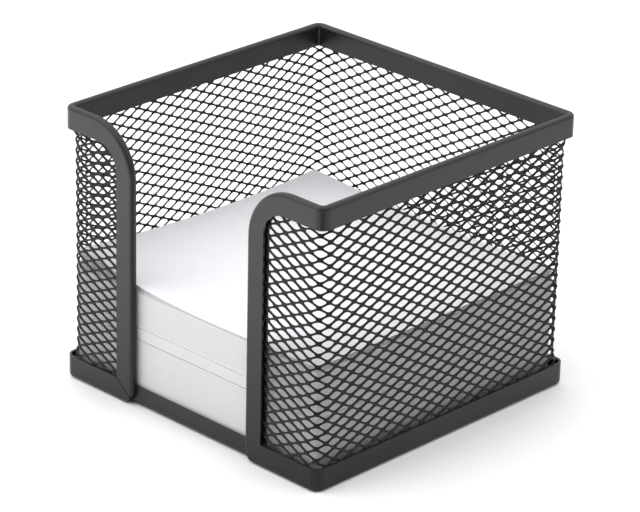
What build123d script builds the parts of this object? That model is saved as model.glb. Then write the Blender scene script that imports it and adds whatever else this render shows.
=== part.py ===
from build123d import *
from math import atan2, ceil, degrees, floor, hypot, pi, radians, sin, sqrt, tan
import os

# Sizes in millimetres. The box stands on z = 0, centred on x and y, with its opening towards -Y.

# Notes
note_width = 90.0             # side of a note, left to right
note_depth = 90.0             # side of a note, front to back
note_play = 0.7               # free room between the notes and the wall, each side
lower_notes = 18.3            # height of the lower block of notes
middle_notes = 3.4            # height of the thin bundle on it
upper_notes = 11.2            # height of the upper block
note_sheet = 0.1              # thickness of one loose sheet
loose_sheets = 3              # loose sheets on top of the stack

# Metal
box_height = 78.7
strip_metal = 0.6             # thickness of the folded edge strip
pan_metal = 0.5               # thickness of the base pan
mesh_thickness = 1.0          # depth of the expanded mesh over its tilted strands
mesh_play = 0.05              # room on each face of the mesh inside the folded strip
inner_corner_radius = 0.6     # upright corners, inside
fold_radius = 1.0             # outside of the strip's fold
rim_height = 6.3              # depth of the strip along the top
band_height = 6.4             # depth of the strip round the foot
pan_height = 5.4              # flange of the base pan
pan_bend = 1.6                # outside bend between the pan's floor and its flange

# Front opening
opening_width = 42.8
opening_radius = 15.0         # arc from the rim down into each post
post_width = 5.9
post_throat_radius = 7.0      # arc between rim and post on the mesh side
post_foot_radius = 4.5        # rounded lower corner of each post
mitre_foot = 1.2              # height at which the mitre between post and band meets the opening
mitre_crease = 0.3            # depth of the crease along that mitre at the left-hand post
crease_share = 0.75           # part of the mitre that the crease runs along, from the mesh side

# Expanded mesh
long_way = 6.0                # pitch of the diamonds along the wall
short_way = 3.25              # pitch of the diamonds up the wall
strand_width = 0.9
mesh_fall = 4.0               # degrees that the rows fall along the strip
seam_margin = 0.25            # solid edge left along each bend of the strip
least_hole = 0.6              # narrowest hole kept beside a bend

# Limits on rounding
fold_limit = 0.45             # most of the strip's width that one fold may take
bend_limit = 0.9              # most of an upright corner's radius that the pan's bend may take

# Sizes that follow
mesh_slot = mesh_thickness + 2 * mesh_play
fold_width = 2 * strip_metal + mesh_slot
wall_width = max(fold_width, strip_metal + mesh_slot + pan_metal)
box_width = note_width + 2 * (note_play + wall_width)
box_depth = note_depth + 2 * (note_play + wall_width)
corner_radius = inner_corner_radius + wall_width
pan_inset = strip_metal + mesh_slot
mesh_inset = strip_metal + mesh_play
fold_round = min(fold_radius, fold_limit * fold_width)
pan_round = min(pan_bend, bend_limit * (corner_radius - pan_inset))
rim_bottom = box_height - rim_height
half_opening = opening_width / 2
opening_arc = min(opening_radius, box_width / 2 - corner_radius - half_opening - post_width)
mitre_reach = 2 * corner_radius
near = 1e-4

# Plan shapes


def plate(inset, bottom, top):
    """Round-cornered slab that follows the box's outline, set in from it."""
    outline = RectangleRounded(box_width - 2 * inset, box_depth - 2 * inset, corner_radius - inset)
    return Pos(0, 0, bottom) * extrude(outline, amount=top - bottom)


def ring(inset, thickness, bottom, top):
    """Upright wall of one thickness that follows the box's outline."""
    return plate(inset, bottom, top) - plate(inset + thickness, bottom, top)


def side_region(side):
    """Prism that holds one side of the box, cut at 45 degrees through the upright corners."""
    turns = {"front": 0, "right": 90, "back": 180, "left": 270}
    along, across = (box_width, box_depth) if side in ("front", "back") else (box_depth, box_width)
    reach = Polygon(
        (-along / 2, -across / 2),
        (along / 2, -across / 2),
        (along / 2 - mitre_reach, -across / 2 + mitre_reach),
        (-along / 2 + mitre_reach, -across / 2 + mitre_reach),
        align=None,
    )
    return Rot(0, 0, turns[side]) * extrude(reach, amount=box_height)


def front_prism(outline):
    """Prism through the front wall from an outline drawn in x and z."""
    return extrude(Plane.XZ * outline, amount=box_depth)


# Folded strip round the top and down the posts


def rim_ring():
    solid = ring(0, fold_width, rim_bottom, box_height)
    solid = fillet(solid.edges().group_by(Axis.Z)[-1], fold_round)
    return solid - ring(strip_metal, mesh_slot, rim_bottom, box_height - strip_metal)


def post_outline():
    """Right-hand post with its arc and its stretch of rim, as far as the corner of the box."""
    mesh_side = half_opening + post_width
    throat = (mesh_side, rim_bottom - post_throat_radius)
    lines = [
        Line((box_width / 2, box_height), (half_opening + opening_arc, box_height)),
        RadiusArc(
            (half_opening + opening_arc, box_height),
            (half_opening, box_height - opening_arc),
            -opening_arc,
        ),
        Line((half_opening, box_height - opening_arc), (half_opening, mitre_foot)),
        Line((half_opening, mitre_foot), (mesh_side, band_height)),
        Line((mesh_side, band_height), throat),
        RadiusArc(throat, (mesh_side + post_throat_radius, rim_bottom), post_throat_radius),
        Line((mesh_side + post_throat_radius, rim_bottom), (box_width / 2, rim_bottom)),
        Line((box_width / 2, rim_bottom), (box_width / 2, box_height)),
    ]
    return make_face(lines)


def rounded_foot_outline():
    """Right-hand part of the front wall with its lower corner rounded beside the opening."""
    lines = [
        Line((box_width / 2, box_height), (half_opening, box_height)),
        Line((half_opening, box_height), (half_opening, post_foot_radius)),
        RadiusArc((half_opening, post_foot_radius), (half_opening + post_foot_radius, 0), -post_foot_radius),
        Line((half_opening + post_foot_radius, 0), (box_width / 2, 0)),
        Line((box_width / 2, 0), (box_width / 2, box_height)),
    ]
    return make_face(lines)


def mitre_groove():
    """V-shaped crease on the outer face, down the mitre from the mesh side."""
    length = hypot(post_width, band_height - mitre_foot)
    slope = degrees(atan2(band_height - mitre_foot, post_width))
    side = mitre_crease * sqrt(2)
    bar = Pos(-crease_share * length / 2, 0, 0) * Rot(45, 0, 0) * Box(crease_share * length, side, side)
    return Pos(half_opening + post_width, -box_depth / 2, band_height) * Rot(0, -slope, 0) * bar


def inner_front_outline(inset):
    """Right-hand part of the front wall inside the fold, down to the floor."""
    edge = half_opening + inset
    top = box_height - inset
    radius = opening_arc - inset
    lines = [
        Line((box_width / 2, top), (edge + radius, top)),
        RadiusArc((edge + radius, top), (edge, top - radius), -radius),
        Line((edge, top - radius), (edge, 0)),
        Line((edge, 0), (box_width / 2, 0)),
        Line((box_width / 2, 0), (box_width / 2, top)),
    ]
    return make_face(lines)


def is_folded_edge(edge):
    """True for the edges of the strip's closed side: along the top, round the arc and down the post."""
    middle = edge @ 0.5
    heading = edge % 0.5
    on_top = abs(middle.Z - box_height) < near
    on_post = abs(middle.X - half_opening) < near
    if edge.geom_type == GeomType.CIRCLE:
        return on_top or abs(edge.radius - opening_arc) < near
    return (on_top and abs(heading.Y) < near) or (on_post and abs(heading.Y) < near)


def right_post():
    front = side_region("front")
    outline = post_outline() & rounded_foot_outline()
    solid = ring(0, fold_width, 0, box_height) & front & front_prism(outline)
    solid = fillet(solid.edges().filter_by(is_folded_edge), fold_round)
    slot = ring(strip_metal, mesh_slot, 0, box_height) & front
    solid -= slot & front_prism(inner_front_outline(strip_metal))
    return solid - plate(pan_inset, 0, pan_height)


# Band round the foot


def band_ring():
    solid = plate(0, 0, band_height)
    solid = fillet(solid.edges().group_by(Axis.Z)[0], fold_round)
    return solid - plate(strip_metal, strip_metal, band_height) - plate(pan_inset, 0, strip_metal)


def right_band_outline():
    """Right-hand stretch of the front band, mitred to the post."""
    lines = [
        Line((half_opening, mitre_foot), (half_opening + post_width, band_height)),
        Line((half_opening + post_width, band_height), (box_width / 2, band_height)),
        Line((box_width / 2, band_height), (box_width / 2, 0)),
        Line((box_width / 2, 0), (half_opening, 0)),
        Line((half_opening, 0), (half_opening, mitre_foot)),
    ]
    return make_face(lines)


# Base pan


def base_pan():
    solid = plate(pan_inset, 0, pan_height)
    solid = fillet(solid.edges().group_by(Axis.Z)[0], pan_round)
    return solid - plate(pan_inset + pan_metal, pan_metal, pan_height)


# Expanded mesh: u runs along the strip from the right-hand post, round the box to the left-hand post

mesh_edge = half_opening + mesh_inset
front_length = box_width / 2 - corner_radius - mesh_edge
side_length = box_depth - 2 * corner_radius
back_length = box_width - 2 * corner_radius
bend_radius = corner_radius - mesh_inset - mesh_thickness / 2
bend_length = bend_radius * pi / 2
mesh_bottom = strip_metal
mesh_top = box_height - strip_metal
mesh_arc = opening_arc - mesh_inset
fall = tan(radians(mesh_fall))
half_long = long_way / 2
half_short = short_way / 2
hole_share = 1 - strand_width / 2 * hypot(half_long, half_short) / (half_long * half_short)
hole_long = half_long * hole_share
hole_short = half_short * hole_share
lowest_hole = band_height - half_short
highest_hole = rim_bottom + half_short


def trimmed(points, limit, keep):
    """Part of a convex outline that lies past a limit in u (keep 1) or before it (keep -1)."""
    kept = []
    for last, here in zip(points[-1:] + points[:-1], points):
        if (here[0] - limit) * (last[0] - limit) < 0:
            share = (limit - last[0]) / (here[0] - last[0])
            kept.append((limit, last[1] + share * (here[1] - last[1])))
        if (here[0] - limit) * keep >= 0:
            kept.append(here)
    return kept


def diamonds(start, length):
    """Outlines of the holes in one stretch of the strip, in u from its start and z."""
    for column in range(floor(start / half_long), ceil((start + length) / half_long) + 1):
        u = column * half_long - start
        lift = column % 2 * half_short - fall * column * half_long
        first_row = ceil((lowest_hole - lift) / short_way)
        last_row = floor((highest_hole - lift) / short_way)
        for row in range(first_row, last_row + 1):
            z = row * short_way + lift
            points = [
                (u - hole_long, z + fall * hole_long),
                (u, z - hole_short),
                (u + hole_long, z - fall * hole_long),
                (u, z + hole_short),
            ]
            points = trimmed(trimmed(points, seam_margin, 1), length - seam_margin, -1)
            if points and max(p[0] for p in points) - min(p[0] for p in points) > least_hole:
                yield points


def inside_arc(points, post_side):
    """True if a hole stays inside the rounded top corner beside the post."""
    for u, z in points:
        beyond_u = mesh_arc - abs(u - post_side)
        beyond_z = z - (mesh_top - mesh_arc)
        if beyond_u > 0 and beyond_z > 0 and hypot(beyond_u, beyond_z) > mesh_arc - seam_margin:
            return False
    return True


def mesh_panel(outline, holes, start_corner, heading):
    """Flat stretch of mesh from an outline in u and z, on the wall that faces right of its heading."""
    face = Face(outline.wire(), [Wire.make_polygon(hole, close=True) for hole in holes])
    outward = Vector(*heading).cross(Vector(0, 0, 1))
    inner_face = Plane(origin=start_corner, x_dir=heading, z_dir=outward)
    return inner_face * extrude(face, amount=mesh_thickness, dir=(0, 0, 1))


def full_outline(length):
    height = mesh_top - mesh_bottom
    return Pos(length / 2, mesh_bottom + height / 2) * Rectangle(length, height)


def post_side_outline():
    """Front stretch of mesh, with its top corner rounded beside the post."""
    lines = [
        Line((0, mesh_bottom), (front_length, mesh_bottom)),
        Line((front_length, mesh_bottom), (front_length, mesh_top)),
        Line((front_length, mesh_top), (mesh_arc, mesh_top)),
        RadiusArc((mesh_arc, mesh_top), (0, mesh_top - mesh_arc), -mesh_arc),
        Line((0, mesh_top - mesh_arc), (0, mesh_bottom)),
    ]
    return make_face(lines).face()


def mesh_bend(start, side_x, side_y):
    """Stretch of mesh bent round one upright corner."""
    centre = (side_x * (box_width / 2 - corner_radius), side_y * (box_depth / 2 - corner_radius))
    corner = Pos(*centre) * Box(corner_radius, corner_radius, box_height, align=(
        Align.MIN if side_x > 0 else Align.MAX,
        Align.MIN if side_y > 0 else Align.MAX,
        Align.MIN,
    ))
    solid = ring(mesh_inset, mesh_thickness, mesh_bottom, mesh_top) & corner
    facing = Plane(origin=(*centre, 0), x_dir=(-side_y, side_x, 0), z_dir=(side_x, side_y, 0))
    cutters = []
    for hole in diamonds(start, bend_length):
        flattened = [(bend_radius * sin((u - bend_length / 2) / bend_radius), z) for u, z in hole]
        face = Face(Wire.make_polygon(flattened, close=True))
        cutters.append(facing * extrude(face, amount=corner_radius))
    return solid - cutters


def mesh_parts():
    inner_x = box_width / 2 - mesh_inset - mesh_thickness
    inner_y = box_depth / 2 - mesh_inset - mesh_thickness
    flat_x = box_width / 2 - corner_radius
    flat_y = box_depth / 2 - corner_radius
    parts = {}
    u = 0
    holes = [hole for hole in diamonds(u, front_length) if inside_arc(hole, 0)]
    parts["mesh_front_right"] = mesh_panel(
        post_side_outline(), holes, (mesh_edge, -inner_y, 0), (1, 0, 0)
    )
    u += front_length
    parts["mesh_bend_front_right"] = mesh_bend(u, 1, -1)
    u += bend_length
    parts["mesh_right"] = mesh_panel(
        full_outline(side_length), diamonds(u, side_length), (inner_x, -flat_y, 0), (0, 1, 0)
    )
    u += side_length
    parts["mesh_bend_back_right"] = mesh_bend(u, 1, 1)
    u += bend_length
    parts["mesh_back"] = mesh_panel(
        full_outline(back_length), diamonds(u, back_length), (flat_x, inner_y, 0), (-1, 0, 0)
    )
    u += back_length
    parts["mesh_bend_back_left"] = mesh_bend(u, -1, 1)
    u += bend_length
    parts["mesh_left"] = mesh_panel(
        full_outline(side_length), diamonds(u, side_length), (-inner_x, flat_y, 0), (0, -1, 0)
    )
    u += side_length
    parts["mesh_bend_front_left"] = mesh_bend(u, -1, -1)
    u += bend_length
    holes = [hole for hole in diamonds(u, front_length) if inside_arc(hole, front_length)]
    outline = Pos(front_length, 0) * mirror(post_side_outline(), about=Plane.YZ)
    parts["mesh_front_left"] = mesh_panel(outline, holes, (-flat_x, -inner_y, 0), (1, 0, 0))
    return parts


# Notes


def note_block(bottom, height):
    return Pos(0, 0, bottom) * Box(
        note_width, note_depth, height, align=(Align.CENTER, Align.CENTER, Align.MIN)
    )


def note_parts():
    heights = {"notes_lower": lower_notes, "notes_middle": middle_notes, "notes_upper": upper_notes}
    for number in range(1, loose_sheets + 1):
        heights[f"loose_sheet_{number}"] = note_sheet
    parts = {}
    level = pan_metal
    for name, height in heights.items():
        parts[name] = note_block(level, height)
        level += height
    return parts


# Whole box


def memo_box():
    rim = rim_ring()
    band = band_ring()
    post = right_post()
    outline = right_band_outline() & rounded_foot_outline()
    front_band = band & side_region("front") & front_prism(outline)
    parts = {}
    for side in ("left", "back", "right"):
        parts[f"rim_{side}"] = rim & side_region(side)
        parts[f"base_band_{side}"] = band & side_region(side)
    parts["front_post_right"] = post
    parts["front_post_left"] = mirror(post - mitre_groove(), about=Plane.YZ)
    parts["base_band_front_right"] = front_band
    parts["base_band_front_left"] = mirror(front_band - mitre_groove(), about=Plane.YZ)
    parts["base_pan"] = base_pan()
    return parts | mesh_parts() | note_parts()


os.makedirs("parts", exist_ok=True)
for name, solid in memo_box().items():
    export_step(solid, f"parts/{name}.step")
print("box", box_width, box_depth, box_height)
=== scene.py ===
import bmesh
import bpy
import math
import random
from mathutils import Matrix, Vector, noise


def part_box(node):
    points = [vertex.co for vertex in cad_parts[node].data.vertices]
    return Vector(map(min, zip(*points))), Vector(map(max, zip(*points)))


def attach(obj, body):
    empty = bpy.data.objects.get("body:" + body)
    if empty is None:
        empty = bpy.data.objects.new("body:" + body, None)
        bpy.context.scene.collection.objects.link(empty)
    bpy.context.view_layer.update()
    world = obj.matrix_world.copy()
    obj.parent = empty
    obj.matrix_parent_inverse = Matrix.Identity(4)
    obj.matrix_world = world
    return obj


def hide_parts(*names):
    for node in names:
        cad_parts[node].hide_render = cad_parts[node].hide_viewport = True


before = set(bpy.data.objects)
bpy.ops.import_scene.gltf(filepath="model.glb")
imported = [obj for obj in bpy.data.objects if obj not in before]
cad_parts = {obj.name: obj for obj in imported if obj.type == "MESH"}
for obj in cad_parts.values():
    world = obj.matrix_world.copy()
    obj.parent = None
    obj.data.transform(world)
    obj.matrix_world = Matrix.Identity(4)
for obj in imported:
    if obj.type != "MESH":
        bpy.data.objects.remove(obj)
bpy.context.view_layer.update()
mm = 0.001
scene = bpy.context.scene
print("frame loaded:", len(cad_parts), "nodes")

# small helpers


def keepMesh(name, bm, material):
    mesh = bpy.data.meshes.new(name)
    bm.to_mesh(mesh)
    bm.free()
    for face in mesh.polygons:
        face.use_smooth = True
    piece = bpy.data.objects.new(name, mesh)
    scene.collection.objects.link(piece)
    mesh.materials.append(material)
    return piece


def bakedBmesh(bm, modifiers):
    # runs modifiers on a scratch object and gives their result back
    mesh = bpy.data.meshes.new("scratch")
    bm.to_mesh(mesh)
    bm.free()
    scratch = bpy.data.objects.new("scratch", mesh)
    scene.collection.objects.link(scratch)
    for kind, values in modifiers:
        modifier = scratch.modifiers.new(kind.title(), kind)
        for key, value in values.items():
            setattr(modifier, key, value)
    bpy.context.view_layer.update()
    depsgraph = bpy.context.evaluated_depsgraph_get()
    made = bmesh.new()
    made.from_object(scratch, depsgraph)
    bpy.data.objects.remove(scratch)
    bpy.data.meshes.remove(mesh)
    return made


# node groups and materials


def addNode(tree, kind, **inputs):
    node = tree.nodes.new(kind)
    for key, value in inputs.items():
        node.inputs[key.replace("_", " ")].default_value = value
    return node


def newGroup(name, inputs, outputs):
    group = bpy.data.node_groups.new(name, "ShaderNodeTree")
    for label, kind, value in inputs:
        socket = group.interface.new_socket(label, in_out="INPUT", socket_type=kind)
        socket.default_value = value
    for label, kind in outputs:
        group.interface.new_socket(label, in_out="OUTPUT", socket_type=kind)
    return group, group.nodes.new("NodeGroupInput"), group.nodes.new("NodeGroupOutput")


def mixColour(tree, factor, dark, light):
    mix = tree.nodes.new("ShaderNodeMix")
    mix.data_type = "RGBA"
    tree.links.new(factor, mix.inputs[0])
    for value, place in ((dark, 6), (light, 7)):  # the colour sockets of this node
        if isinstance(value, tuple):
            mix.inputs[place].default_value = value
        else:
            tree.links.new(value, mix.inputs[place])
    return mix.outputs[2]


def mapValue(tree, value, low, high, fromLow=0.0, fromHigh=1.0):
    node = tree.nodes.new("ShaderNodeMapRange")
    tree.links.new(value, node.inputs["Value"])
    node.inputs["From Min"].default_value = fromLow
    node.inputs["From Max"].default_value = fromHigh
    for label, given in (("To Min", low), ("To Max", high)):
        if isinstance(given, (int, float)):
            node.inputs[label].default_value = given
        else:
            tree.links.new(given, node.inputs[label])
    return node.outputs["Result"]


def mathNode(tree, operation, *values):
    node = tree.nodes.new("ShaderNodeMath")
    node.operation = operation
    for place, value in enumerate(values):
        tree.links.new(value, node.inputs[place])
    return node.outputs[0]


def dotWith(tree, vector, direction):
    dot = tree.nodes.new("ShaderNodeVectorMath")
    dot.operation = "DOT_PRODUCT"
    tree.links.new(vector, dot.inputs[0])
    dot.inputs[1].default_value = direction
    return dot.outputs["Value"]


coatTexture = {
    "peelDetail": 2.0,
    "peelBlend": 0.55,
    "cloudScale": 70.0,
    "cloudDetail": 3.0,
    "cloudRange": (0.3, 0.7),  # noise levels that give the least and the most gloss
}


def makeCoatGroup(values):
    # powder coat: orange peel height, uneven colour and gloss
    group, given, out = newGroup(
        "coatFinish",
        [("Peel Scale", "NodeSocketFloat", 1500.0), ("Dark", "NodeSocketColor", (0.03, 0.03, 0.03, 1)),
         ("Light", "NodeSocketColor", (0.05, 0.05, 0.05, 1)), ("Gloss Low", "NodeSocketFloat", 0.36),
         ("Gloss High", "NodeSocketFloat", 0.5)],
        [("Color", "NodeSocketColor"), ("Roughness", "NodeSocketFloat"), ("Height", "NodeSocketFloat")],
    )
    coords = group.nodes.new("ShaderNodeTexCoord")
    peel = addNode(group, "ShaderNodeTexNoise", Detail=values["peelDetail"], Roughness=values["peelBlend"])
    group.links.new(coords.outputs["Object"], peel.inputs["Vector"])
    group.links.new(given.outputs["Peel Scale"], peel.inputs["Scale"])
    cloud = addNode(group, "ShaderNodeTexNoise", Scale=values["cloudScale"], Detail=values["cloudDetail"])
    group.links.new(coords.outputs["Object"], cloud.inputs["Vector"])
    colour = mixColour(group, cloud.outputs["Fac"], given.outputs["Dark"], given.outputs["Light"])
    gloss = mapValue(group, cloud.outputs["Fac"], given.outputs["Gloss Low"], given.outputs["Gloss High"],
                     *values["cloudRange"])
    group.links.new(colour, out.inputs["Color"])
    group.links.new(gloss, out.inputs["Roughness"])
    group.links.new(peel.outputs["Fac"], out.inputs["Height"])
    return group


coatGroup = makeCoatGroup(coatTexture)


def makeCoat(name, values):
    material = bpy.data.materials.new(name)
    material.use_nodes = True
    tree = material.node_tree
    shader = tree.nodes["Principled BSDF"]
    finish = tree.nodes.new("ShaderNodeGroup")
    finish.node_tree = coatGroup
    finish.inputs["Peel Scale"].default_value = values["peelScale"]
    finish.inputs["Dark"].default_value = (*values["dark"], 1)
    finish.inputs["Light"].default_value = (*values["light"], 1)
    finish.inputs["Gloss Low"].default_value = values["roughness"][0]
    finish.inputs["Gloss High"].default_value = values["roughness"][1]
    bump = addNode(tree, "ShaderNodeBump", Strength=values["peelStrength"], Distance=values["peelDepth"] * mm)
    tree.links.new(finish.outputs["Height"], bump.inputs["Height"])
    tree.links.new(finish.outputs["Color"], shader.inputs["Base Color"])
    tree.links.new(finish.outputs["Roughness"], shader.inputs["Roughness"])
    tree.links.new(bump.outputs["Normal"], shader.inputs["Normal"])
    shader.inputs["Specular IOR Level"].default_value = values["specular"]
    return material


stripCoat = {
    "peelScale": 1600.0,
    "peelStrength": 0.35,
    "peelDepth": 0.05,
    "dark": (0.008, 0.008, 0.0082),
    "light": (0.014, 0.014, 0.0138),
    "roughness": (0.3, 0.4),
    "specular": 0.42,
}
meshCoat = {
    "peelScale": 2200.0,
    "peelStrength": 0.3,
    "peelDepth": 0.04,
    "dark": (0.005, 0.005, 0.005),
    "light": (0.01, 0.01, 0.01),
    "roughness": (0.42, 0.54),
    "specular": 0.32,
}
stripMaterial = makeCoat("blackStripCoat", stripCoat)
meshMaterial = makeCoat("blackMeshCoat", meshCoat)
print("coats made")

# paper

paperFinish = {
    "sheetPitch": 0.28,  # mm between the lines that show on the cut edges
    # painted shade: the cut edges are painted darker than the faces of the same paper; the lines between
    # sheets on them are the paper's own
    "shadedEdgeDark": (0.6, 0.6, 0.605),
    "shadedEdgeLight": (0.63, 0.63, 0.635),
    "face": (0.825, 0.835, 0.86),
    "faceRange": (0.4, 0.7),  # how far a surface looks up or down before it counts as a face
    "lineStretch": 12.0,  # the lines change slowly along the edges
    "lineDetail": 3.0,
    "lineBlend": 0.6,
    "lineRange": (0.3, 0.65),
    "fibreScale": 900.0,
    "fibreDetail": 4.0,
    "fibreStrength": 0.25,
    "fibreDepth": 0.03,
    "roughness": 0.75,
    "specular": 0.25,
}
# painted highlight: the middle bundle's edges are painted paler than the other blocks', as if it caught more
# light
middleEdgesPaintedLight = {"shadedEdgeDark": (0.63, 0.63, 0.635), "shadedEdgeLight": (0.65, 0.65, 0.655)}  # of the middle bundle


def makePaper(name, values):
    material = bpy.data.materials.new(name)
    material.use_nodes = True
    tree = material.node_tree
    shader = tree.nodes["Principled BSDF"]
    coords = tree.nodes.new("ShaderNodeTexCoord")
    along = values["lineStretch"]
    stretch = addNode(tree, "ShaderNodeMapping", Scale=(along, along, 1 / (values["sheetPitch"] * mm)))
    tree.links.new(coords.outputs["Object"], stretch.inputs["Vector"])
    lines = addNode(tree, "ShaderNodeTexNoise", Scale=1.0, Detail=values["lineDetail"],
                    Roughness=values["lineBlend"])
    tree.links.new(stretch.outputs["Vector"], lines.inputs["Vector"])
    fibre = addNode(tree, "ShaderNodeTexNoise", Scale=values["fibreScale"], Detail=values["fibreDetail"])
    tree.links.new(coords.outputs["Object"], fibre.inputs["Vector"])
    geometry = tree.nodes.new("ShaderNodeNewGeometry")
    split = tree.nodes.new("ShaderNodeSeparateXYZ")
    tree.links.new(geometry.outputs["True Normal"], split.inputs[0])
    upward = mathNode(tree, "ABSOLUTE", split.outputs["Z"])
    facing = mapValue(tree, upward, 0.0, 1.0, *values["faceRange"])
    shade = mapValue(tree, lines.outputs["Fac"], 0.0, 1.0, *values["lineRange"])
    # painted shade: sides that face neither up nor down take the darker edge colours, with the sheet lines
    # across them
    edge = mixColour(tree, shade, (*values["shadedEdgeDark"], 1), (*values["shadedEdgeLight"], 1))
    tree.links.new(mixColour(tree, facing, edge, (*values["face"], 1)), shader.inputs["Base Color"])
    bump = addNode(tree, "ShaderNodeBump", Strength=values["fibreStrength"],
                   Distance=values["fibreDepth"] * mm)
    tree.links.new(fibre.outputs["Fac"], bump.inputs["Height"])
    tree.links.new(bump.outputs["Normal"], shader.inputs["Normal"])
    shader.inputs["Roughness"].default_value = values["roughness"]
    shader.inputs["Specular IOR Level"].default_value = values["specular"]
    return material


paperMaterial = makePaper("notePaper", paperFinish)
paintedLightPaperMaterial = makePaper("paintedLightNotePaper", {**paperFinish, **middleEdgesPaintedLight})
print("paper made")

# expanded mesh strip: first flat, with x along the wall, y up and z outwards, then bent round the box

meshStrip = {
    "longWay": 6.0,
    "shortWay": 3.25,
    "fall": 4.0,  # degrees that the rows drop along the strip
    "strandWidth": 0.44,  # seen square to the wall
    "strandThickness": 0.24,
    "tilt": 0.28,  # how far the edges of a strand stand in and out
    "tiltReach": 1.6,  # above 1, a strand has its full tilt before the tips of a hole
    "rounding": 0.75,  # corners of the holes
    "roundSteps": 2,
    "crisp": 50.0,  # edges that turn more than this stay sharp
    "arcTuck": 3.0,  # how far the last holes stay inside the curve at the top of a post
    "edgeTuck": 1.0,  # the same at the top and the bottom
    "border": 0.1,
    "bendMore": 3.0,  # the free mesh turns the corners more gently than the folded edges
    "bendEase": 5.0,
    "bendStart": 0.4,  # share of that at the folded edges themselves
    "nearDraw": 1.01,  # the strip is drawn out a little further on its first two walls
    "farDraw": 0.94,
    "drawEase": 24.0,
    "postEdge": 5.25,  # where the posts let go of the strip
    "gripReach": 2.2,  # strands beside the folded edges are pressed out of line
    "gripPitch": 1.7,
    "gripDepth": 0.5,
    "gripOffset": (7.3, 1.9, 4.1),  # parts the noise that pushes out from the noise that pushes up
}
meshArc = {"along": 14.35, "up": 63.75, "radius": 14.35}  # end of the strip beside the opening


def eased(share):
    share = max(0.0, min(1.0, share))
    return share * share * (3 - 2 * share)


def meshPath():
    # straight and bent stretches of the strip's middle surface, from the right-hand post round to the left
    low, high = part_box("mesh_front_right")
    thickness = high.y - low.y
    bendLow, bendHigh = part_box("mesh_bend_back_right")
    radius = bendHigh.x - bendLow.x - thickness / 2
    flatX = bendLow.x
    flatY = bendLow.y
    runs = [flatX - low.x, 2 * flatY, 2 * flatX, 2 * flatY, flatX - low.x]
    corners = [(flatX, -flatY), (flatX, flatY), (-flatX, flatY), (-flatX, -flatY)]
    path = []
    u = 0.0
    point = Vector((low.x, -flatY - radius))
    angle = 0.0
    for number, run in enumerate(runs):
        path.append({"u": u, "length": run, "point": point.copy(), "angle": angle, "radius": 0.0})
        u += run
        if number < len(corners):
            corner = Vector(corners[number])
            turn = radius * math.pi / 2
            path.append({"u": u, "length": turn, "point": corner, "angle": angle, "radius": radius})
            u += turn
            angle += math.pi / 2
            point = corner + radius * Vector((math.sin(angle), -math.cos(angle)))
    return path


def swell(values, low, high, z):
    # how much wider the strip bends between the folded edges than inside them
    room = min(z - low, high - z) / (values["bendEase"] * mm) + values["bendStart"]
    return values["bendMore"] * mm * eased(room)


def drawnShare(values, path, u):
    # how far the strip is drawn out: it changes at the back right corner
    bend = path[3]
    turn = bend["u"] + bend["length"] / 2
    step = eased((u - turn) / (values["drawEase"] * mm) + 0.5)
    return values["nearDraw"] + (values["farDraw"] - values["nearDraw"]) * step


def pressed(values, low, high, end, flat):
    # small random shift of the strands where the folded edges grip them
    post = values["postEdge"] * mm
    gap = min(flat.y - low, high - flat.y, flat.x - post, end - post - flat.x)
    grip = max(0.0, 1 - abs(gap) / (values["gripReach"] * mm)) * values["gripDepth"] * mm
    place = flat / (values["gripPitch"] * mm)
    return grip * Vector((0, noise.noise(place), noise.noise(place + Vector(values["gripOffset"]))))


def wrapPoint(path, flat, more):
    # bends one point of the flat strip round the box, with corners wider by more
    stretch = path[0]
    for candidate in path:
        margin = more if candidate["radius"] else -more
        if flat.x >= candidate["u"] - margin:
            stretch = candidate
    angle = stretch["angle"]
    outward = Vector((math.sin(angle), -math.cos(angle)))
    onward = Vector((math.cos(angle), math.sin(angle)))
    along = flat.x - stretch["u"]
    if stretch["radius"]:
        middle = stretch["point"] - more * (outward + onward)
        angle += (along + more) / (stretch["length"] + 2 * more) * math.pi / 2
        spot = middle + (stretch["radius"] + more + flat.z) * Vector((math.sin(angle), -math.cos(angle)))
    else:
        spot = stretch["point"] + along * onward + flat.z * outward
    return Vector((spot.x, spot.y, flat.y))


def beyondArc(end, flat, less):
    # how far a point of the strip stands outside the curve at the top of a post
    middle = Vector((meshArc["along"] * mm, meshArc["up"] * mm))
    along = min(flat.x, end - flat.x)
    if along > middle.x or flat.y < middle.y:
        return -1.0
    return (Vector((along, flat.y)) - middle).length - meshArc["radius"] * mm + less


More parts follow.
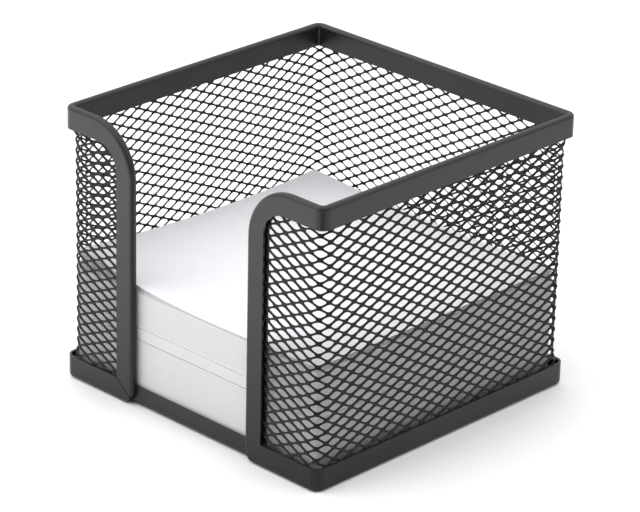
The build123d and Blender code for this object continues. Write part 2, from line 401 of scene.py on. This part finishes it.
def flatStrip(values, path):
    halfLong = values["longWay"] / 2 * mm
    halfShort = values["shortWay"] / 2 * mm
    fall = math.tan(math.radians(values["fall"]))
    end = path[-1]["u"] + path[-1]["length"]
    bottom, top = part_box("mesh_right")[0].z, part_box("mesh_right")[1].z
    across = end / halfLong
    down = (top + end * fall) / halfShort
    count = 2 * math.ceil((across + down) / 4 + 1)
    bm = bmesh.new()
    bmesh.ops.create_grid(bm, x_segments=count, y_segments=count, size=count / 2)
    bmesh.ops.translate(bm, verts=bm.verts, vec=(round((across - down) / 4), round((across + down) / 4), 0))
    # grid squares become diamonds: x is the sum of the steps, y their difference less the fall
    drop = fall * halfLong
    lean = Matrix((
        (halfLong, halfLong, 0, 0),
        (-halfShort - drop, halfShort - drop, 0, 0),
        (0, 0, 1, 0),
        (0, 0, 0, 1),
    ))
    bmesh.ops.transform(bm, matrix=lean, verts=bm.verts)
    tuck = values["edgeTuck"] * mm

    def isOutside(face):
        spot = face.calc_center_median()
        inside = halfLong < spot.x < end - halfLong and bottom + tuck < spot.y < top - tuck
        return not inside or beyondArc(end, spot, values["arcTuck"] * mm) > 0

    bmesh.ops.delete(bm, geom=[f for f in bm.faces if isOutside(f)], context="FACES")
    holes = list(bm.faces)
    halfStrand = values["strandWidth"] / 2 * mm
    bmesh.ops.inset_individual(bm, faces=holes, thickness=halfStrand, use_even_offset=True)
    corners = list({v for f in holes for v in f.verts})
    steps = values["roundSteps"]
    bmesh.ops.bevel(bm, geom=corners, offset=values["rounding"] * mm, affect="VERTICES", segments=steps,
                    profile=0.5, material=-1)
    bm.faces.ensure_lookup_table()
    holes = [f for f in bm.faces if len(f.verts) == 4 * (steps + 1)]
    for hole in holes:
        middle = hole.calc_center_median()
        reach = max(v.co.y for v in hole.verts) - middle.y
        for v in hole.verts:
            rise = (v.co.y - middle.y + fall * (v.co.x - middle.x)) / reach
            v.co.z = values["tilt"] * mm * max(-1.0, min(1.0, values["tiltReach"] * rise))
    bmesh.ops.delete(bm, geom=holes, context="FACES_ONLY")
    return bm


def makeMesh(values):
    path = meshPath()
    bm = flatStrip(values, path)
    print("flat strip:", len(bm.faces), "faces")
    bm = bakedBmesh(bm, [
        ("SOLIDIFY", {"thickness": values["strandThickness"] * mm, "offset": 0.0, "use_even_offset": False}),
    ])
    end = path[-1]["u"] + path[-1]["length"]
    freeLow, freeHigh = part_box("base_band_right")[1].z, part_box("rim_right")[0].z
    border = values["border"] * mm
    bottom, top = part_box("mesh_right")[0].z + border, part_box("mesh_right")[1].z - border
    middle = (bottom + top) / 2
    for v in bm.verts:
        v.co.y = middle + (v.co.y - middle) * drawnShare(values, path, v.co.x)
        v.co += pressed(values, freeLow, freeHigh, end, v.co)
        v.co.x = max(border, min(end - border, v.co.x))
        v.co.y = max(bottom, min(top, v.co.y))
    walls = [
        ("meshFrontRight", ("mesh_front_right", "mesh_bend_front_right"), 0),
        ("meshRight", ("mesh_right", "mesh_bend_back_right"), 2),
        ("meshBack", ("mesh_back", "mesh_bend_back_left"), 4),
        ("meshLeft", ("mesh_left", "mesh_bend_front_left"), 6),
        ("meshFrontLeft", ("mesh_front_left",), 8),
    ]
    for name, nodes, first in walls:
        begin = path[first]["u"] if first else -math.inf
        finish = path[first + 2]["u"] if first + 2 < len(path) else math.inf
        wall = bm.copy()
        beyond = [f for f in wall.faces if not begin <= f.calc_center_median().x < finish]
        bmesh.ops.delete(wall, geom=beyond, context="FACES")
        for v in wall.verts:
            v.co = wrapPoint(path, v.co, swell(values, freeLow, freeHigh, v.co.y))
        piece = keepMesh(name, wall, meshMaterial)
        piece.data.set_sharp_from_angle(angle=math.radians(values["crisp"]))
        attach(piece, "box")
        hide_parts(*nodes)
        print(name, len(piece.data.polygons), "faces")
    bm.free()


makeMesh(meshStrip)

# metal carried over from the CAD

for name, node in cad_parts.items():
    if name.startswith(("rim", "front_post", "base")):
        node.data.materials.clear()
        node.data.materials.append(stripMaterial)
print("strip metal coated")

# note paper: blocks that don't lie quite square, then sheets that curl up at the left

noteBlocks = {
    "stray": 0.03,  # sideways play of a block
    "strayUsed": 0.6,  # most of that play that a block moves by
    "skew": 0.02,  # degrees
    "ease": 0.03,  # edges
    "crisp": 30.0,  # edges that turn more than this stay sharp
    "gap": {"notes_lower": 0.3, "notes_middle": 0.16, "notes_upper": 0.03},  # groove above each block
    "shift": {"notes_lower": (-0.32, -0.36), "notes_middle": (-0.3, -0.38), "notes_upper": (-0.32, -0.36)},
    "seed": 7,
}
curlSheets = {
    "count": 7,  # thin layers at the top of the upper notes
    "layer": 0.17,
    "loose": 3,
    "steps": 40,
    "thickness": 0.1,
    "stray": 0.3,
    "leftLift": 0.5,  # rise of the topmost sheet along its left edge
    "frontLift": 3.5,  # further rise of its front left corner
    "farLift": 1.4,  # the same at its far left corner
    "sag": 0.9,  # hollow of its front edge
    "reach": 52.0,  # how far in from the left edge the curl begins
    "leftPower": 2,  # how late the curl rises towards the left, the front and the far edge
    "frontPower": 3,
    "farPower": 6,
    "layerShare": (0.12, 0.5),  # curl of the lowest layer, and what the highest has more
    "layerPower": 1.5,
    "looseShare": (0.55, 0.15),  # curl that all loose sheets have, and more for each one up
}


def addBlock(bm, low, high, values, chance):
    # low and high are the block's corners
    size = high - low
    inward = 2 * values["stray"] * mm
    made = bmesh.ops.create_cube(bm, size=1.0)
    verts = made["verts"]
    bmesh.ops.scale(bm, vec=(size.x - inward, size.y - inward, size.z), verts=verts)
    turn = math.radians(chance.uniform(-1, 1) * values["skew"])
    bmesh.ops.rotate(bm, cent=(0, 0, 0), matrix=Matrix.Rotation(turn, 3, "Z"), verts=verts)
    play = values["stray"] * mm * values["strayUsed"]
    shift = Vector((chance.uniform(-1, 1), chance.uniform(-1, 1), 0)) * play
    bmesh.ops.translate(bm, vec=(low + high) / 2 + shift, verts=verts)
    edges = list({e for v in verts for e in v.link_edges})
    bmesh.ops.bevel(bm, geom=edges, offset=values["ease"] * mm, affect="EDGES", segments=1, profile=0.5,
                    material=-1)


def addCurled(bm, low, high, share, values, chance):
    # one thin sheet whose left edge rises by a share of the topmost sheet's curl
    steps = values["steps"]
    made = bmesh.ops.create_grid(bm, x_segments=steps, y_segments=steps, size=0.5)
    verts = made["verts"]
    stray = values["stray"] * mm
    shift = Vector((chance.uniform(-1, 1) * stray, chance.uniform(-1, 1) * stray, 0))
    for v in verts:
        across, along = v.co.x + 0.5, v.co.y + 0.5
        left = max(0.0, 1 - across * (high.x - low.x) / (values["reach"] * mm)) ** values["leftPower"]
        front, far = (1 - along) ** values["frontPower"], along ** values["farPower"]
        lift = left * (values["leftLift"] + values["frontLift"] * front + values["farLift"] * far) * share
        bow = -values["sag"] * share * math.sin(math.pi * across) * front
        v.co = Vector((
            low.x + stray + across * (high.x - low.x - 2 * stray),
            low.y + stray + along * (high.y - low.y - 2 * stray),
            high.z + (lift + bow) * mm,
        )) + shift
    faces = list({f for v in verts for f in v.link_faces})
    bmesh.ops.solidify(bm, geom=faces, thickness=values["thickness"] * mm)


def keepPaper(node, bm, crisp):
    bmesh.ops.recalc_face_normals(bm, faces=bm.faces)
    # the middle bundle takes the paper with the painted highlight on its edges
    piece = keepMesh(node + "_paper", bm, paintedLightPaperMaterial if node == "notes_middle" else paperMaterial)
    piece.data.set_sharp_from_angle(angle=math.radians(crisp))
    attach(piece, node)
    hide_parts(node)


def makePaperStack(blocks, sheets):
    chance = random.Random(blocks["seed"])
    for node in ("notes_lower", "notes_middle", "notes_upper"):
        shift = Vector((*blocks["shift"][node], 0)) * mm
        low, high = (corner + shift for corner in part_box(node))
        bm = bmesh.new()
        layers = sheets["count"] * sheets["layer"] * mm if node == "notes_upper" else 0.0
        less = Vector((0, 0, layers + blocks["gap"][node] * mm))
        addBlock(bm, low, high - less, blocks, chance)
        for number in range(sheets["count"] if layers else 0):
            least, more = sheets["layerShare"]
            share = least + more * (number / sheets["count"]) ** sheets["layerPower"]
            level = high.z - layers + (number + 1) * sheets["layer"] * mm
            addCurled(bm, low, Vector((high.x, high.y, level)), share, sheets, chance)
        keepPaper(node, bm, blocks["crisp"])
    for number in range(1, sheets["loose"] + 1):
        node = "loose_sheet_" + str(number)
        shift = Vector((*blocks["shift"]["notes_upper"], 0)) * mm
        low, high = (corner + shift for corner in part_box(node))
        bm = bmesh.new()
        least, more = sheets["looseShare"]
        addCurled(bm, low, high, least + more * number, sheets, chance)
        keepPaper(node, bm, blocks["crisp"])
    print("paper stacked")


makePaperStack(noteBlocks, curlSheets)

# floor, light and camera

studio = {
    "floorSize": 6.0,
    "floorDrop": 0.0002,  # keeps the floor clear of the underside
    "floorColour": (0.92, 0.92, 0.92, 1),
    "floorRoughness": 0.9,
    "floorGlow": {"toward": (-0.69, -0.72, 0.0), "from": 0.06, "to": 0.18, "gain": 0.7},
    # painted shade for reflections: a dark strip of floor before the nearest corner
    "floorShadeForReflections": {"toward": (0.69, -0.72, 0.0), "from": 0.03, "to": 0.13, "across": (0.72, 0.69, 0.0),
                 "narrow": 0.02, "wide": 0.08, "colour": (0.06, 0.06, 0.06, 1)},
    "horizon": 0.5,
    "zenith": 1.7,
    "zenithFrom": 0.9,  # sine of the height above which the sky is as bright as at the zenith
    "leftGlow": {"toward": (-0.69, -0.72, 0.0), "gain": 0.5},
    "darkSide": {"toward": (0.69, -0.72, 0.1), "share": 0.1, "from": 0.6, "to": 0.95},
    "key": {"place": (-0.9, -1.1, 1.5), "aim": (0, 0, 0.04), "size": 1.2, "power": 4.0},
}


def makeFloor(values):
    bm = bmesh.new()
    bmesh.ops.create_grid(bm, x_segments=1, y_segments=1, size=values["floorSize"] / 2)
    material = bpy.data.materials.new("paleFloor")
    material.use_nodes = True
    tree = material.node_tree
    shader = tree.nodes["Principled BSDF"]
    shader.inputs["Roughness"].default_value = values["floorRoughness"]
    spot = tree.nodes.new("ShaderNodeTexCoord").outputs["Object"]
    # the floor glows towards the left
    glow = values["floorGlow"]
    gain = mapValue(tree, dotWith(tree, spot, glow["toward"]), 0.0, glow["gain"], glow["from"], glow["to"])
    tree.links.new(gain, shader.inputs["Emission Strength"])
    shader.inputs["Emission Color"].default_value = (1, 1, 1, 1)
    # painted shade: reflections in the metal see the floor dark before the nearest corner, on the camera's
    # side, while camera rays see its own colour
    dim = values["floorShadeForReflections"]
    ahead = mapValue(tree, dotWith(tree, spot, dim["toward"]), 0.0, 1.0, dim["from"], dim["to"])
    beside = mathNode(tree, "ABSOLUTE", dotWith(tree, spot, dim["across"]))
    strip = mapValue(tree, beside, 1.0, 0.0, dim["narrow"], dim["wide"])
    mirrored = tree.nodes.new("ShaderNodeLightPath").outputs["Is Glossy Ray"]
    share = mathNode(tree, "MULTIPLY", mathNode(tree, "MULTIPLY", ahead, strip), mirrored)
    tree.links.new(mixColour(tree, share, values["floorColour"], dim["colour"]), shader.inputs["Base Color"])
    floor = keepMesh("floor", bm, material)
    floor.location.z = -values["floorDrop"]


def makeLight(name, values):
    data = bpy.data.lights.new(name, "AREA")
    data.size = values["size"]
    data.energy = values["power"]
    light = bpy.data.objects.new(name, data)
    light.location = values["place"]
    light.rotation_euler = (Vector(values["aim"]) - light.location).to_track_quat("-Z", "Y").to_euler()
    scene.collection.objects.link(light)


def makeSky(values):
    # brighter overhead and at the left, dim on the camera's side
    world = bpy.data.worlds.new("studioSky")
    world.use_nodes = True
    tree = world.node_tree
    coords = tree.nodes.new("ShaderNodeTexCoord")

    def toward(direction):
        return dotWith(tree, coords.outputs["Generated"], direction)

    rise = mapValue(tree, toward((0, 0, 1)), values["horizon"], values["zenith"], 0.0, values["zenithFrom"])
    glow = mapValue(tree, toward(values["leftGlow"]["toward"]), 1.0, 1 + values["leftGlow"]["gain"])
    dark = values["darkSide"]
    dim = mapValue(tree, toward(dark["toward"]), 1.0, dark["share"], dark["from"], dark["to"])
    background = tree.nodes["Background"]
    strength = mathNode(tree, "MULTIPLY", mathNode(tree, "MULTIPLY", rise, glow), dim)
    tree.links.new(strength, background.inputs["Strength"])
    background.inputs["Color"].default_value = (1, 1, 1, 1)
    scene.world = world


makeFloor(studio)
makeSky(studio)
makeLight("keyLight", studio["key"])
scene.view_settings.view_transform = "Standard"
print("studio lit")

# the photograph's viewpoint, fitted to the box's edges
viewpoint = {
    "azimuth": 44.03,
    "elevation": 23.84,
    "roll": 1.30,
    "distance": 922.6,
    "aim": (0.54, -2.83),  # to the right of and above the middle of the box
    "middle": 39.41,
    "sensor": 36.0,
    "lens": 194.0,
}


def makeCamera(values):
    turn = math.radians(values["azimuth"])
    lift = math.radians(values["elevation"])
    roll = math.radians(values["roll"])
    back = Vector((math.sin(turn) * math.cos(lift), -math.cos(turn) * math.cos(lift), math.sin(lift)))
    level = Vector((math.cos(turn), math.sin(turn), 0))
    upright = back.cross(level)
    right = math.cos(roll) * level + math.sin(roll) * upright
    up = math.cos(roll) * upright - math.sin(roll) * level
    data = bpy.data.cameras.new("photoCamera")
    data.sensor_width = values["sensor"]
    data.lens = values["lens"]
    camera = bpy.data.objects.new("photoCamera", data)
    spot = Vector((0, 0, values["middle"])) + values["aim"][0] * right + values["aim"][1] * up
    spot = (spot + values["distance"] * back) * mm
    camera.matrix_world = Matrix((right, up, back)).transposed().to_4x4()
    camera.location = spot
    scene.collection.objects.link(camera)
    scene.camera = camera


makeCamera(viewpoint)
